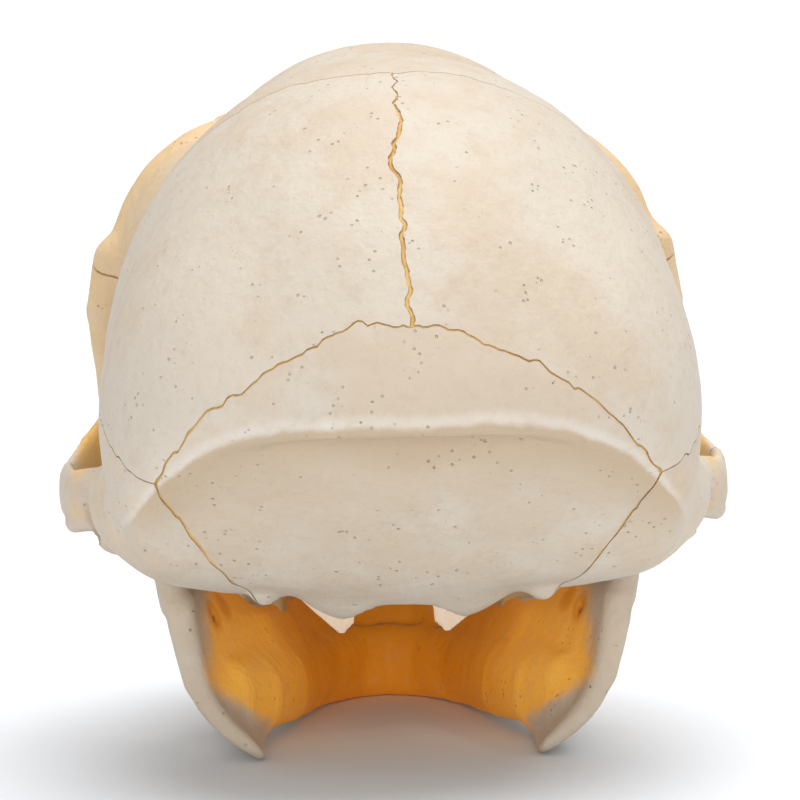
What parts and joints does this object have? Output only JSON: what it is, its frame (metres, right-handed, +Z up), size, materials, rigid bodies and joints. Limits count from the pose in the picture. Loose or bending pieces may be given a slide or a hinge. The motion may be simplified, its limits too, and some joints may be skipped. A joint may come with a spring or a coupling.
{
  "type": "monkey skull",
  "caption": "Life-size skull of a young macaque with its lower jaw, closed, standing on the jaw as a study or display piece.",
  "frame": {"origin": "on the surface that the jaw stands on, under the middle of the skull's outer sizes", "axes": "+Z up, the face looks along -Y, the skull's own left side is at +X, and its midline lies in the YZ plane"},
  "size_m": [0.0646, 0.0915, 0.0675],
  "materials": {
    "frontal_bone": "dry, matt, slightly porous bone",
    "parietal_left_bone": "dry, matt, slightly porous bone",
    "parietal_right_bone": "dry, matt, slightly porous bone",
    "occipital_bone": "dry, matt, slightly porous bone",
    "temporal_left_bone": "dry, matt, slightly porous bone",
    "temporal_right_bone": "dry, matt, slightly porous bone",
    "sphenoid_bone": "dry, matt, slightly porous bone",
    "nasal_bone": "dry, matt, slightly porous bone",
    "zygomatic_left_bone": "dry, matt, slightly porous bone",
    "zygomatic_right_bone": "dry, matt, slightly porous bone",
    "maxilla_left_bone": "dry, matt, slightly porous bone",
    "maxilla_right_bone": "dry, matt, slightly porous bone",
    "mandible_bone": "dry bone with an amber tint, cream along its back edge"
  },
  "bodies": {
    "root": {"frontal": "frontal_bone", "parietal_left": "parietal_left_bone", "parietal_right": "parietal_right_bone", "occipital": "occipital_bone", "temporal_left": "temporal_left_bone", "temporal_right": "temporal_right_bone", "sphenoid": "sphenoid_bone", "nasal": "nasal_bone", "zygomatic_left": "zygomatic_left_bone", "zygomatic_right": "zygomatic_right_bone", "maxilla_left": "maxilla_left_bone", "maxilla_right": "maxilla_right_bone", "mandible": "mandible_bone"}
  },
  "joints": []
}
